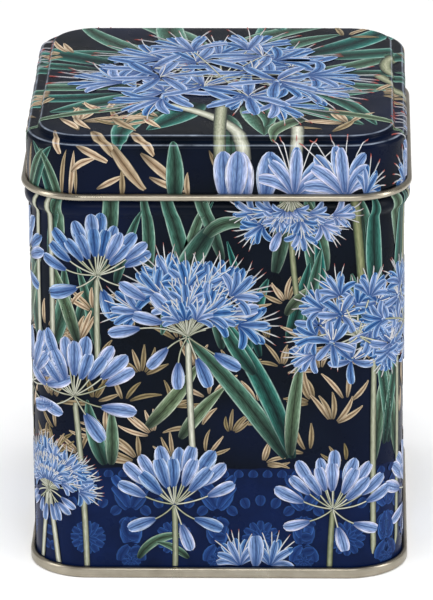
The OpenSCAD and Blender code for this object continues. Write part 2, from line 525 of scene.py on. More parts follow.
def stalk(ink, x, y, angle, distance, turn, width, tone):
    """A thin stem whose chord has that angle and length, and where it ends and heads."""
    half = math.radians(turn) / 2 + 1e-6
    length = distance * half / math.sin(half)
    ink.mark("stem", x, y, angle - turn / 2, length, width, turn, tone)
    return curve_end(x, y, angle - turn / 2, length, turn)


def bud(ink, x, y, heading, size, tone):
    """A closed flower: a petal that shows past its side, and a full one in front. Both start a little
    before the stalk's end, and so cover it."""
    bend, side = ink.jitter(14), ink.rng.choice([-1, 1])
    x, y, heading = curve_end(x, y, heading, -0.7 * size, 0.0)
    ink.mark("petal", x, y, heading + 10 * side, 4.9 * size, 1.5 * size, -12 * side, tone - 0.35)
    ink.height += 0.006
    ink.mark("petal", x, y, heading - bend / 2, 5.4 * size, 2.1 * size, bend, tone)


def trumpet(ink, x, y, heading, size, tone, wide=1.0):
    """An open flower from the side: a throat, petals that fan out and curl back, and long stamens. wide
    makes its petals that much broader."""
    for side in (-20, 22, 0):
        lean = side + ink.jitter(5)
        ink.mark("petal", x, y, heading + lean, 5.6 * size, 1.5 * wide * size, 0.8 * lean, tone - 0.5)
    ink.height += 0.002
    for side in np.linspace(-28, 28, 5):
        lean = side + ink.jitter(6)
        ink.mark("stamen", x, y, heading + 0.6 * lean, 7.6 * size, 0.18, 0.9 * lean, ink.rng.uniform())
    ink.height += 0.002
    for side in (-50, 50, -27, 29, 3):
        lean = side + ink.jitter(6)
        shade = tone + ink.rng.uniform(-0.3, 0.35)
        length = (5.4 - 0.012 * abs(side)) * size
        ink.mark("petal", x, y, heading + 0.75 * lean, length, 1.4 * wide * size, 1.5 * lean, shade)
        ink.height += 0.003


def star(ink, x, y, size, tone, wide=1.0):
    """An open flower seen from the front: three back petals, three front ones, and short stamens. wide
    makes its petals that much broader."""
    first = ink.rng.uniform(0, 60)
    for layer in (0, 1):
        for i in range(3):
            lean = first + 60 * layer + 120 * i + ink.jitter(8)
            shade = tone - 0.2 + 0.3 * layer + ink.jitter(0.1)
            length, width = (4.8 - 0.4 * layer) * size, 1.5 * wide * size
            ink.mark("petal", x, y, lean, length, width, ink.jitter(40), shade)
        ink.height += 0.002
    for _ in range(4):
        ink.mark("stamen", x, y, first + 25 + ink.jitter(55), 3.3 * size, 0.18, ink.jitter(30), 0.8)


def main_stem(ink, x, y, lean, stem, width, tone):
    """The stem that carries a head; it lies below all the heads' own marks."""
    start = ink.height
    ink.group(STEM_HEIGHT)
    stalk(ink, x, y, -90 + lean, stem[0], stem[1], width, tone)
    ink.group(start)


def low_row(ink, reach):
    """Angle and reach of the four flowers that hang beside a stem."""
    return [(angle + ink.jitter(7), reach * ink.rng.uniform(0.8, 1.1)) for angle in (-68, 250, -32, 212)]


def high_row(ink, first, last, number, reach):
    """Angle and reach of flowers that stand evenly over the angles first to last."""
    step = (last - first) / number
    middles = first + step * (np.arange(number) + 0.5)
    return [(angle + ink.jitter(5), reach * ink.rng.uniform(0.86, 1.12)) for angle in middles]


def stalks(ink, x, y, lean, size, row, curl, middle):
    """The stalks of a row of flowers, bent away from the middle angle, and where each ends and heads."""
    ends = []
    for angle, reach in row:
        width, tone = 0.28 + 0.03 * size, ink.rng.uniform(0.4, 1.0)
        ends.append(stalk(ink, x, y, angle + lean, size * reach, curl * (angle - middle), width, tone))
    return ends


def bud_head(ink, x, y, size, lean, stem, tone=0.5, count=11):
    """A head still in bud: stalks curve out and up from the top of the stem into a cup, and each ends in
    one bud. A few buds hang below it."""
    main_stem(ink, x, y, lean, stem, 1.1, ink.rng.uniform(0.15, 0.6))
    low = stalks(ink, x, y, lean, size, low_row(ink, 3.4)[:1], 0.2, -90)
    low += stalks(ink, x, y, lean, size, low_row(ink, 4.2)[2:], -0.25, 90)
    high = stalks(ink, x, y, lean, size, high_row(ink, 6, 174, count, 5.2), -0.3, 90)
    near = stalks(ink, x, y, lean, size, high_row(ink, 34, 146, count // 2 + 1, 3.2), -0.3, 90)
    start = ink.height + 0.004
    for row, tier in ((low, 0), (high, 0), (near, 2)):
        for i, (hx, hy, heading) in enumerate(row):
            ink.group(start + 0.013 * (tier + i % 2))
            bud(ink, hx, hy, heading, size * ink.rng.uniform(0.88, 1.1), tone + ink.jitter(0.35))


def fan_head(ink, x, y, size, lean, stem, tone=0.4, count=11):
    """A head in flower from the side: pale stalks show at its heart, a few buds hang from it, and open
    flowers stand over it in two rows."""
    main_stem(ink, x, y, lean, stem, 1.2, 0.85)
    low = stalks(ink, x, y, lean, size, low_row(ink, 4.6), 0.1, -90)
    high = stalks(ink, x, y, lean, size, high_row(ink, 6, 174, count, 8.0), 0.5, 90)
    near = stalks(ink, x, y, lean, size, high_row(ink, 26, 154, count // 2 + 2, 4.4), 0.5, 90)
    heart = stalks(ink, x, y, lean, size, high_row(ink, 55, 125, 3, 2.6), 0.5, 90)
    stalks(ink, x, y, lean, size, high_row(ink, 8, 172, 10, 3.4), 0.5, 90)
    start = ink.height + 0.004
    for hx, hy, heading in low:
        bud(ink, hx, hy, heading, size * ink.rng.uniform(0.85, 1.05), tone + ink.rng.uniform(0.0, 0.5))
    for row, tier, tiers, scale in ((high, 0, 3, 0.92), (near, 3, 2, 0.86), (heart, 5, 1, 0.62)):
        for i, (hx, hy, heading) in enumerate(row):
            ink.group(start + 0.028 * (tier + i % tiers))
            if ink.rng.uniform() < 0.16:
                bud(ink, hx, hy, heading, size * 0.95, tone + 0.4)
            else:
                trumpet(ink, hx, hy, heading, size * scale, tone + ink.jitter(0.4))


def ball_head(ink, x, y, size, tone=0.25, count=20, low=-0.6, wide=1.0):
    """A head in full flower: flowers stand evenly over a ball and are painted from its back to its front.
    Those that face forwards are stars, and the others trumpets; wide makes their petals broader."""
    flowers = []
    for i in range(count):
        up = 1 - (1 - low) * (i + 0.5) / count
        round_it = GOLDEN_ANGLE * i + ink.jitter(0.2)
        flat = math.sqrt(1 - up * up)
        flowers.append((flat * math.sin(round_it), flat * math.cos(round_it), up))
    flowers.sort()
    start = ink.height
    for i, (depth, side, up) in enumerate(flowers):
        ink.group(start + 0.012 * (i % 6) + 0.002 * i)
        far = math.hypot(side, up)
        angle = math.degrees(math.atan2(up, side))
        reach = size * 7.6 * max(far, 0.3) * ink.rng.uniform(0.9, 1.1)
        curl = 0.3 * (angle - 90) if up > -0.2 else 0.0
        hx, hy, heading = stalk(ink, x, y, angle, reach, curl, 0.36, ink.rng.uniform(0.4, 0.9))
        shade = tone + 0.2 * depth + ink.jitter(0.15)
        if depth > 0.3:
            star(ink, hx, hy, size, shade, wide)
        else:
            trumpet(ink, hx, hy, heading, size * (0.62 + 0.25 * far), shade, wide)


def sprig(ink, x, y, heading, size, tone):
    """A tuft of willow leaves that spread from one point."""
    for side in np.linspace(-44, 44, ink.rng.integers(3, 6)):
        hx, hy, lean = curve_end(x, y, heading + side + ink.jitter(8), 0.6 * size, 0.0)
        length, bend, shade = size * ink.rng.uniform(3.6, 6.0), ink.jitter(46), tone + ink.jitter(0.25)
        ink.mark("sprig", hx, hy, lean, length, 0.8 * size, bend, shade)


def rosette(ink, x, y, radius, petals, tone):
    """A ring of petals round a point, with a smaller ring inside it, tone on tone."""
    for scale, shift in ((1.0, 0.0), (0.55, 0.5)):
        for i in range(petals):
            angle, width = 360 * (i + shift) / petals, 5.2 * scale * radius / petals
            ink.mark("damask", x, y, angle, radius * scale, width, 0.0, tone + 0.25 * (1 - scale))


def damask_band(ink, width, top):
    """The low band's pattern: rosettes a step apart, each under an arch of scales, with leaf pairs between
    them and a row of scales along the top."""
    step = width / 4
    for i in range(4):
        x = -width / 2 + step * (i + 0.5)
        rosette(ink, x, 0.36 * top, 3.6, 12, 0.45)
        for k in range(11):
            angle = math.radians(-20 + 22 * k)
            out_x, out_y = 5.9 * math.cos(angle), 5.9 * math.sin(angle)
            ink.mark("damask", x + out_x, 0.36 * top + out_y, math.degrees(angle), 2.4, 2.0, 0.0, 0.25)
        for side in (-1, 1):
            for low, lean, length, wide, bend in (
                (0.60, 48, 6.2, 2.4, 60), (0.60, 12, 6.6, 2.2, -45), (0.58, 150, 6.4, 2.4, -55),
                (0.34, 40, 4.6, 2.0, 70), (0.30, 122, 4.4, 2.0, -60), (0.80, 70, 4.6, 1.8, 50),
            ):
                tone = ink.rng.uniform(0.2, 0.9)
                ink.mark("damask", x + step / 2, low * top, 90 - lean * side, length, wide, bend * side, tone)
        rosette(ink, x + step / 2, 0.14 * top, 1.9, 8, 0.4)
        for k in range(6):
            ink.mark("damask", x + step * (k - 2.5) / 6, 0.995 * top, -90, 1.7, 1.9, 0.0, 0.15)


def scattered_leaves(ink, number, low, high, tones):
    """Upright leaves at even steps along a side, that start between the heights low and high."""
    for i in range(number):
        x = -SIDE / 2 + SIDE * (i + ink.rng.uniform(0.2, 0.8)) / number
        y, heading, length = ink.rng.uniform(low, high), 90 + ink.jitter(20), ink.rng.uniform(14, 28)
        width, bend, tone = ink.rng.uniform(1.9, 3.4), ink.jitter(30), ink.rng.uniform(*tones)
        ink.group(0.025 + 0.008 * (i % 4))
        ink.mark("leaf", x, y, heading, length, width, bend, tone)


def side_print(flip, seed):
    """One side's marks, from back to front; flip of -1 mirrors them."""
    ink = Sheet(seed)
    ink.group(0.02)
    damask_band(ink, SIDE, LOW_BAND_TOP)
    scattered_leaves(ink, 15, 40, 58, (0.0, 0.35))
    scattered_leaves(ink, 7, 52, 62, (0.3, 0.6))
    for row in range(6):
        for i in range(8):
            x = -SIDE / 2 + SIDE * (i + 0.5 * (row % 2) + ink.jitter(0.25)) / 8
            y = 22.0 + 5.6 * row + ink.jitter(1.4)
            ink.group(0.06)
            sprig(ink, x, y, 90 + ink.jitter(60), ink.rng.uniform(0.9, 1.25), ink.rng.uniform(0.2, 0.95))
    # near leaves, each on its own sweep
    ink.group(0.066)
    for x, y, heading, length, width, turn, tone in (
        (-12.5, 28, 46, 16, 2.8, 16, 0.95), (-19.5, 21, 108, 13, 2.9, -14, 0.3),
        (-18.5, 21, 84, 11, 2.4, 8, 0.62), (-6.5, 26, 58, 13, 2.5, -16, 0.85),
        (12.5, 22, 122, 31, 3.4, 14, 0.35), (13.5, 22, 104, 34, 3.5, 22, 0.12),
        (12.8, 22.5, 86, 20, 2.6, -10, 0.72), (7, 38, 128, 14, 2.6, -20, 0.2),
        (27.5, 21, 82, 22, 2.6, -8, 0.55), (31, 24, 96, 24, 2.2, 12, 0.3),
        (0, 66, 232, 23, 4.2, 24, 0.3), (-2, 63, 62, 11, 2.6, -105, 0.5),
        (12, 49, 66, 17, 2.4, -112, 0.9), (16, 44, 92, 18, 2.4, -14, 0.3),
        (-29.5, 42, 62, 17, 3.0, 34, 0.35), (-24, 44, 106, 17, 2.4, 10, 0.75),
        (28, 52, 98, 20, 3.2, -8, 0.15), (-14, 3.2, 66, 11, 1.8, -86, 0.55), (-5, 3.4, 130, 7, 1.4, 40, 0.5),
    ):
        ink.mark("leaf", x, y, heading + ink.jitter(3), length, width, turn, tone)
        ink.height += 0.0035
    # tall stems that pass behind the heads
    ink.group(STEM_HEIGHT - 0.003)
    ink.mark("stem", 27.6, 3, 91, 40, 1.2, -2, 0.45)
    ink.mark("stem", 25.5, 50, 92, 22, 1.7, 5, 0.1)
    ink.mark("stem", -29.0, 36, 88, 36, 1.2, 4, 0.75)
    for start, head, *values in (
        (0.15, stalk, 13.0, 68.5, -86, 17, 8, 1.1, 0.2),
        (0.155, fan_head, 13.0, 71.0, 0.86, 180, (0.1, 0), 0.5, 6),
        (0.155, bud_head, -20.5, 56.6, 1.1, 0, (18, 4), 0.4, 10),
        (0.155, fan_head, -30.5, 15.5, 0.72, -8, (15, 3), 0.4, 7),
        (0.16, bud_head, -7.5, 13.8, 1.17, 0, (13, -4), 0.55, 9),
        (0.16, bud_head, 20.3, 13.0, 1.13, -3, (12, 3), 0.95, 9),
        (0.155, trumpet, 4.0, 2.0, 102, 1.0, 0.55),
        (0.17, bud, 6.6, 2.0, 90, 1.35, 0.5),
        (0.155, trumpet, 9.2, 2.0, 74, 1.0, 0.5),
        (0.17, ball_head, 24.6, 45.5, 1.0),
        (0.175, fan_head, -4.9, 45.2, 1.2, 2, (26, 2), 0.3),
        (0.185, bud_head, -24.8, 34.2, 1.22, 3, (35, -5), 0.75, 9),
    ):
        ink.group(start)
        head(ink, *values)
    return ink.rows(flip)


def film(ink, kind, onto, along, across, pace=None):
    """Points, quads and values of all the marks of one kind. A mark's middle line turns evenly, its width is
    u to the swell times (1 - u) to the fall, and its border turns down into the plate, where it ends.
    Where pace is given, its value at a place is how closely the points follow there."""
    order = np.nonzero(ink[:, 0] == KINDS.index(kind))[0]
    x, y, heading, length, half, turn, tone, height = (c[:, None] for c in ink[order, 1:].T)
    start, swing = np.radians(heading), np.radians(turn) + 1e-6

    def middle(u):
        angle = start + swing * u
        reach = length / swing
        return x + reach * (np.sin(angle) - np.sin(start)), y - reach * (np.cos(angle) - np.cos(start)), angle

    u = np.linspace(0.0, 1.0, along)[None]
    if pace is not None:
        fine = np.linspace(0.0, 1.0, 12 * along)
        share = np.cumsum(pace(*middle(fine[None])[:2]), 1)
        share = (share - share[:, :1]) / (share[:, -1:] - share[:, :1])
        u = np.stack([np.interp(u[0], row, fine) for row in share])
    swell, fall = SWELL[kind]
    widest = swell / (swell + fall)
    width = half * (u / widest) ** swell * ((1 - u) / (1 - widest)) ** fall
    middle_x, middle_y, angle = middle(u)
    v = np.linspace(-1.0, 1.0, across)
    v = np.concatenate([v[:1], v, v[-1:]])
    flat_x = middle_x[..., None] - v * (width * np.sin(angle))[..., None]
    flat_y = middle_y[..., None] + v * (width * np.cos(angle))[..., None]
    lift = np.broadcast_to(height[..., None], flat_x.shape).copy()
    lift[:, :, [0, -1]] = -ROOT_DEPTH
    lift[:, [0, -1], :] = -ROOT_DEPTH
    points, normals = onto(flat_x, flat_y, lift)
    i, j = np.arange(along - 1)[:, None], np.arange(len(v) - 1)[None]
    quads = np.stack([i * len(v) + j, (i + 1) * len(v) + j, (i + 1) * len(v) + j + 1, i * len(v) + j + 1], -1)
    quads = quads.reshape(-1, 4)[None] + np.arange(len(order))[:, None, None] * along * len(v)
    place = np.arange(len(order))[:, None, None]
    u, v = np.broadcast_arrays(u[..., None], v)
    u, v, length, half, place, tone = np.broadcast_arrays(
        u, v, length[..., None], half[..., None], place, np.clip(tone, 0, 1)[..., None]
    )
    mark_uv = np.stack([u, (v + 1) / 2], -1)
    brush_uv = np.stack([u * length + 7.3 * (place % 97), v * half + 5.1 * (place % 53)], -1)
    return (points.reshape(-1, 3), normals.reshape(-1, 3), quads.reshape(-1, 4),
            mark_uv.reshape(-1, 2), brush_uv.reshape(-1, 2), tone.ravel())


def print_piece(name, ink, onto, finishes, along, across, pace=None):
    """One mesh of all the marks, shaded as if they lay flat in the surface that they are printed on."""
    kinds = np.unique(ink[:, 0]).astype(int)
    films = [film(ink, KINDS[k], onto, along[KINDS[k]], across[KINDS[k]], pace) for k in kinds]
    starts = np.cumsum([0] + [len(f[0]) for f in films[:-1]])
    points, normals, mark_uv, brush_uv, tones = (
        np.concatenate([f[k] for f in films]) for k in (0, 1, 3, 4, 5)
    )
    faces = np.concatenate([f[2] + start for f, start in zip(films, starts)])
    finish = np.concatenate([np.full(len(f[2]), k) for k, f in zip(kinds, films)])
    made = piece(name, points, faces.tolist(), finishes, finish)
    mesh = made.data
    corners = np.empty(len(mesh.loops), np.int32)
    mesh.loops.foreach_get("vertex_index", corners)
    for layer, values in (("mark", mark_uv), ("brush", brush_uv)):
        mesh.uv_layers.new(name=layer).uv.foreach_set("vector", values[corners].ravel())
    mesh.attributes.new("tone", "FLOAT", "POINT").data.foreach_set("value", tones)
    mesh.attributes.new("lie", "FLOAT_VECTOR", "POINT").data.foreach_set("vector", normals.ravel())
    work = bmesh.new()
    work.from_mesh(mesh)
    bmesh.ops.remove_doubles(work, verts=work.verts, dist=2e-9)
    work.to_mesh(mesh)
    work.free()
    lie = np.empty(len(mesh.vertices) * 3)
    mesh.attributes["lie"].data.foreach_get("vector", lie)
    mesh.attributes.remove(mesh.attributes["lie"])
    mesh.normals_split_custom_set_from_vertices(lie.reshape(-1, 3))
    return made


wall_skin = wall_section[:half_count]
wall_skin = wall_skin[(wall_skin[:, 1] > 1.4) & (wall_skin[:, 1] < MOUTH_Z - HEM_R)]
wall_skin = wall_skin[wall_skin[:, 0] < BEAD_OUT + PLATE]
wall_skin = wall_skin[np.argsort(wall_skin[:, 1])]


def onto_side(number):
    """Lays flat print on side number 0 to 3: x is the distance round the wall from the side's middle. Under
    the lid's skirt the films are a quarter as high, so that the lid slides over them."""

    def onto(x, y, lift):
        y = np.clip(y, PRINT_FOOT, PRINT_TOP)
        point, outward = wall_line(x + SIDE * number)
        under_lid = np.clip(y - LID_EDGE_Z + 1.0, 0.0, 1.0)
        lift = lift * (1 - 0.75 * under_lid * (lift > 0))
        out = (np.interp(y, wall_skin[:, 1], wall_skin[:, 0]) + lift)[..., None]
        points = np.concatenate([point + out * outward, y[..., None]], -1)
        return points, np.concatenate([outward, np.zeros_like(y)[..., None]], -1)

    return onto


def wall_pace(x, y):
    """Points follow more closely over the stop bead."""
    return 1.0 + 5.0 * (np.abs(y - BEAD_Z) < BEAD_HALF + 0.8)


def ramp(tree, value, places):
    """A colour ramp over value, from pairs of position and colour."""
    made = node(tree, "ShaderNodeValToRGB", {"Fac": value})
    points = made.color_ramp.elements
    while len(points) < len(places):
        points.new(0.5)
    for point, (position, colour) in zip(points, places):
        point.position, point.color = position, colour
    return made.outputs["Color"]


def ink_finish(name, low, high, foot=None, tip=None, streaks=0.5, foot_end=0.38):
    """An ink for one kind of mark. low and high are its colours from the midrib out to the border, for tones
    0 and 1. Fine dry-brush streaks run along it; foot and tip tint its two ends."""
    made, tree, shader = material(name)
    uv = node(tree, "ShaderNodeUVMap", uv_map="mark").outputs[0]
    brush = node(tree, "ShaderNodeUVMap", uv_map="brush").outputs[0]
    parts = node(tree, "ShaderNodeSeparateXYZ", {0: uv})
    along = parts.outputs["X"]
    across = reckoned(tree, "ABSOLUTE", reckoned(tree, "MULTIPLY_ADD", parts.outputs["Y"], 2.0, -1.0))
    tone = node(tree, "ShaderNodeAttribute", attribute_name="tone", attribute_type="GEOMETRY").outputs["Fac"]
    colour = mixed(tree, tone, ramp(tree, across, low), ramp(tree, across, high))
    streak = noise(tree, brush, 1.0, 4.0, (0.7, 5.5, 1.0))
    share = between(tree, streak, 1.0 - streaks, 1.0 + 0.35 * streaks)
    colour = mixed(tree, 1.0, colour, grey(tree, share), "MULTIPLY")
    for tint, start, end in ((foot, foot_end, 0.0), (tip, 0.84, 0.93)):
        if tint is not None:
            colour = mixed(tree, spread(tree, along, start, end, 0.9), colour, tint)
    varnished(tree, shader, colour, own_place(tree))
    return made


def stops(*parts):
    """Ramp stops from (position, red, green, blue), with the dark outline last."""
    return [(position, paint(*colour)) for position, *colour in parts] + [(1.0, paint(12, 14, 30))]


inks = [
    ink_finish(
        "damask_ink",
        stops((0.0, 16, 33, 74), (0.6, 22, 44, 90), (0.85, 31, 60, 112)),
        stops((0.0, 25, 48, 100), (0.6, 37, 69, 126), (0.85, 54, 94, 158)), streaks=0.4,
    ),
    ink_finish(
        "leaf_ink",
        stops((0.0, 6, 26, 32), (0.1, 8, 46, 48), (0.5, 14, 80, 76), (0.8, 38, 122, 114),
              (0.93, 136, 178, 170)),
        stops((0.0, 46, 52, 38), (0.1, 76, 90, 66), (0.5, 98, 116, 88), (0.8, 136, 152, 122),
              (0.93, 198, 206, 182)),
        foot=paint(10, 20, 24), streaks=0.7,
    ),
    ink_finish(
        "sprig_ink",
        stops((0.0, 50, 44, 28), (0.2, 92, 82, 52), (0.86, 134, 120, 84)),
        stops((0.0, 104, 80, 62), (0.2, 166, 140, 114), (0.86, 224, 206, 180)),
        foot=paint(64, 56, 42), streaks=0.5,
    ),
    ink_finish(
        "stem_ink",
        stops((0.0, 128, 132, 88), (0.5, 90, 100, 62), (0.86, 46, 58, 42)),
        stops((0.0, 218, 218, 206), (0.5, 170, 172, 156), (0.86, 98, 100, 92)), streaks=0.45,
    ),
    ink_finish(
        "petal_ink",
        stops((0.0, 20, 42, 84), (0.09, 30, 64, 120), (0.30, 62, 110, 164), (0.42, 40, 80, 136),
              (0.56, 78, 126, 178), (0.80, 122, 160, 206), (0.94, 190, 210, 232)),
        stops((0.0, 56, 76, 124), (0.09, 106, 132, 176), (0.30, 138, 162, 202), (0.42, 110, 136, 182),
              (0.56, 156, 172, 212), (0.80, 190, 196, 228), (0.94, 232, 230, 242)),
        foot=paint(22, 52, 106), streaks=0.7, foot_end=0.55,
    ),
    ink_finish(
        "stamen_ink",
        [(0.0, paint(196, 196, 192)), (1.0, paint(130, 132, 140))],
        [(0.0, paint(220, 218, 214)), (1.0, paint(156, 158, 166))],
        tip=paint(150, 58, 44), streaks=0.2,
    ),
]

for number, (side_name, flip, seed) in enumerate(
    (("front", 1, 11), ("right", -1, 23), ("back", 1, 37), ("left", -1, 41))
):
    marks = side_print(flip, seed)
    print_side = print_piece("print_" + side_name, marks, onto_side(number), inks, ALONG, ACROSS, wall_pace)
    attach(print_side, "tin_body")


# ---- Side seam ----
# The two upright edges of the blank hook into each other down the middle of the back. The folds lie flat
# against the inside, two plates thick, and the outside shows one fine line where the edges meet.
SEAM_W = 4.0
SEAM_LOW = 3.6
seam_high = BEAD_Z - BEAD_HALF - 0.6


def upright_strip(name, outline, low, high, finish):
    """A closed outline (x, y) carried straight up between two heights, with flat ends."""
    n = len(outline)
    ring = np.concatenate([outline, np.zeros((n, 1))], -1)
    points = np.concatenate([ring + (0, 0, low), ring + (0, 0, high)])
    i = np.arange(n)
    faces = np.stack([i, (i + 1) % n, (i + 1) % n + n, i + n], -1).tolist()
    faces += [i[::-1].tolist(), (i + n).tolist()]
    made = piece(name, points, faces, [finish])
    made.data.polygons.foreach_set("use_smooth", np.zeros(len(faces), bool))
    return made


def fold_edge(x, y, side):
    """Half-round edge of one folded layer, from its inner face to its outer face."""
    t = np.linspace(-math.pi / 2, math.pi / 2, 7)
    return np.stack([x + side * PLATE / 2 * np.cos(t), y + PLATE / 2 * np.sin(t)], -1)


inner_face = WALL_HALF - PLATE
half_fold = SEAM_W / 2 - PLATE / 2
left_edges = [fold_edge(half_fold - 0.25 * k, inner_face - PLATE * (k + 0.5), 1)[::-1] for k in (0, 1)]
right_edges = [fold_edge(-half_fold - 0.1 * k, inner_face - PLATE * (k + 0.5), -1) for k in (1, 0)]
fold_outline = np.concatenate(left_edges + right_edges)[::-1]
seam_fold = upright_strip("side_seam_fold", fold_outline, SEAM_LOW, seam_high, inside_tin)
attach(seam_fold, "tin_body")
line_outline = np.array([[2.1, -0.1], [2.02, 0.26], [1.94, 0.24], [1.86, -0.1]]) + (0.0, WALL_HALF)
seam_line = upright_strip("side_seam_line", line_outline, PRINT_FOOT, BEAD_Z - BEAD_HALF - 0.2, wall_print)
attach(seam_line, "tin_body")


# ---- Base end ----
# The pressed bottom plate in pale gold lacquered tinplate: a recessed panel stiffened by a round ring, an
# upstand inside the wall, and an edge rolled out, up and over the wall's foot in the bottom seam.
SEAM_H = 1.95
PANEL_RING_R = 19.0
PANEL_TOP = 2.5
seam_tin = tinplate("gold_tinplate", paint(178, 170, 154), paint(130, 123, 108), 0.22, 0.40)
upstand_x = -1.5 * PLATE - FOLD_GAP
seam_x = 2.5 * PLATE + 3 * FOLD_GAP
RING_LEAN = 60.0
RING_FOOT_R = 0.5
RING_CREST_R = 0.9
PANEL_BEND_R = 0.75
FOOT_BEND_R = 0.3
HOOK_RUN = 0.5
ring_half = (RING_FOOT_R + RING_CREST_R) * math.sin(math.radians(RING_LEAN))
panel_z = PANEL_TOP - PLATE / 2
base_middle = bent(
    -WALL_HALF + MIDDLE_RING, panel_z, 0.0,
    PANEL_RING_R - ring_half - MIDDLE_RING,
    (RING_LEAN, RING_FOOT_R),
    (-2 * RING_LEAN, RING_CREST_R),
    (RING_LEAN, RING_FOOT_R),
    WALL_HALF - PANEL_RING_R - ring_half + upstand_x - PANEL_BEND_R,
    (-90.0, PANEL_BEND_R),
    panel_z - PANEL_BEND_R - FOOT_BEND_R - PLATE / 2,
    (90.0, FOOT_BEND_R),
    seam_x - upstand_x - 2 * FOOT_BEND_R,
    (90.0, FOOT_BEND_R),
    SEAM_H - PLATE - FOLD - FOOT_BEND_R,
    (180.0, FOLD),
    HOOK_RUN,
)
base_section = sheet_section(base_middle, from_middle=True)
base_end = sheet_piece("base_end_rolled", base_section, [seam_tin], panel_from=-2.0, round_from=-9.0)
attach(base_end, "tin_body")
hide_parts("base_end")


# ---- Plug lid ----
# A plain bright tinplate pan that presses into the mouth: a flange with a rolled rim sits on the hem, the
# side goes down into the mouth, and the pan floor carries the knob.
RIM_R = 0.35
RIM_TURN = 250.0
SEAT_GAP = 0.05
PLUG_FIT = 0.1
SHANK_HOLE_R = 1.3
KNOB_SEAT_RUN = 8.0
STEP_LEAN = 35.0
STEP_R = 1.2
PAN_BEND_R = 1.05
FLANGE_BEND_R = 0.45
plug_x = -2 * HEM_R - PLUG_FIT - PLATE / 2
pan_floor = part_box("plug_lid")[0][2] / MM + PLATE / 2
flange_z = MOUTH_Z + SEAT_GAP + PLATE / 2
plug_rim_x = -PLUG_FIT - RIM_R
seat_step = 2 * STEP_R * math.sin(math.radians(STEP_LEAN))
seat_rise = 2 * STEP_R * (1 - math.cos(math.radians(STEP_LEAN)))
plug_middle = bent(
    -WALL_HALF + SHANK_HOLE_R, pan_floor, 0.0,
    KNOB_SEAT_RUN,
    (STEP_LEAN, STEP_R),
    (-STEP_LEAN, STEP_R),
    WALL_HALF - SHANK_HOLE_R - KNOB_SEAT_RUN - seat_step + plug_x - PAN_BEND_R,
    (90.0, PAN_BEND_R),
    flange_z - pan_floor - seat_rise - PAN_BEND_R - FLANGE_BEND_R,
    (-90.0, FLANGE_BEND_R),
    plug_rim_x - plug_x - FLANGE_BEND_R,
    (RIM_TURN, RIM_R - PLATE / 2),
)
plug_tin = tinplate("bright_tinplate", paint(222, 220, 212), paint(186, 184, 178), 0.18, 0.34)
plug_section = sheet_section(plug_middle, from_middle=True)
plug_lid = sheet_piece("plug_lid_pan", plug_section, [plug_tin], panel_from=-3.0, round_from=-9.5)
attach(plug_lid, "plug_lid_body")
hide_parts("plug_lid")


# ---- Lid ----
# The slip lid, drawn from one printed sheet: a raised panel, a ledge round it, a rounded shoulder, a
# straight skirt that slides over the wall, and an edge curled outwards, which the print leaves bare.
LID_FIT = 0.1
CURL_R = 0.65
CURL_TURN = 320.0
SHOULDER_R = 0.8
STEP_IN = 2.2
CREST_R = 0.5
FOOT_R = 0.35
STEP_H = 1.08
lid_top = LID_TOP - PLATE / 2
skirt_x = LID_FIT + PLATE / 2
riser_x = skirt_x - STEP_IN
foot_turn = FOOT_R + PLATE / 2
lid_panel_x = riser_x - CREST_R
shoulder_z = lid_top - STEP_H
lid_middle = bent(
    -WALL_HALF + MIDDLE_RING, lid_top, 0.0,
    WALL_HALF + lid_panel_x - MIDDLE_RING,
    (-90.0, CREST_R),
    STEP_H - CREST_R - foot_turn,
    (90.0, foot_turn),
    skirt_x - SHOULDER_R - riser_x - foot_turn,
    (-90.0, SHOULDER_R),
    shoulder_z - SHOULDER_R - LID_EDGE_Z - CURL_R,
    (CURL_TURN, CURL_R - PLATE / 2),
)
lid_section = sheet_section(lid_middle, from_middle=True)
lid_print = ground_print("lid_ground")
lid_bare = np.ones(len(lid_section), bool)
outer = len(lid_section) - len(lid_middle)
lid_bare[outer:-1] = lid_section[outer + 1:, 1] < LID_EDGE_Z + 1.6 * CURL_R
lid_bare[-1] = False
lid = sheet_piece("lid_printed", lid_section, [lid_print, seam_tin], lid_bare,
                  panel_from=lid_panel_x, round_from=-9.5)
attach(lid, "slip_lid")
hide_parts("lid")


# ---- Lid print ----
# The same inks on the lid's sheet, printed flat before it was drawn, so the marks run on over the step and
# down the skirt. One large head lies across the panel, over strap leaves that reach out past its edges.
lid_skin = lid_section[:outer - 1:-1]
lid_run = np.concatenate([[0.0], np.cumsum(np.linalg.norm(np.diff(lid_skin, axis=0), axis=1))])
panel_run = np.interp(lid_panel_x, lid_skin[:, 0], lid_run)
PANEL_HALF = WALL_HALF + lid_panel_x
PANEL_CORNER = CORNER_R + lid_panel_x
SKIRT_TOP = 3.9
LID_LEAVES = 27
LID_FILM = 0.2
SKIRT_FOOT = np.interp(LID_EDGE_Z + 1.7 * CURL_R, lid_skin[::-1, 1], lid_run[::-1]) - panel_run


def past_panel(x, y):
    """The distance of a place on the flat sheet past the panel's rounded edge, and its direction out."""
    place = np.stack([x, y], -1)
    inner = np.abs(place) - (PANEL_HALF - PANEL_CORNER)
    in_corner = (inner > 0).all(-1, keepdims=True)
    beside = np.stack([inner[..., 0] >= inner[..., 1], inner[..., 0] < inner[..., 1]], -1)
    size = np.maximum(np.linalg.norm(inner, axis=-1, keepdims=True), 1e-9)
    out = np.where(in_corner, inner / size, beside.astype(float))
    past = (out * inner).sum(-1) - PANEL_CORNER
    return past, out * np.where(place < 0, -1.0, 1.0)


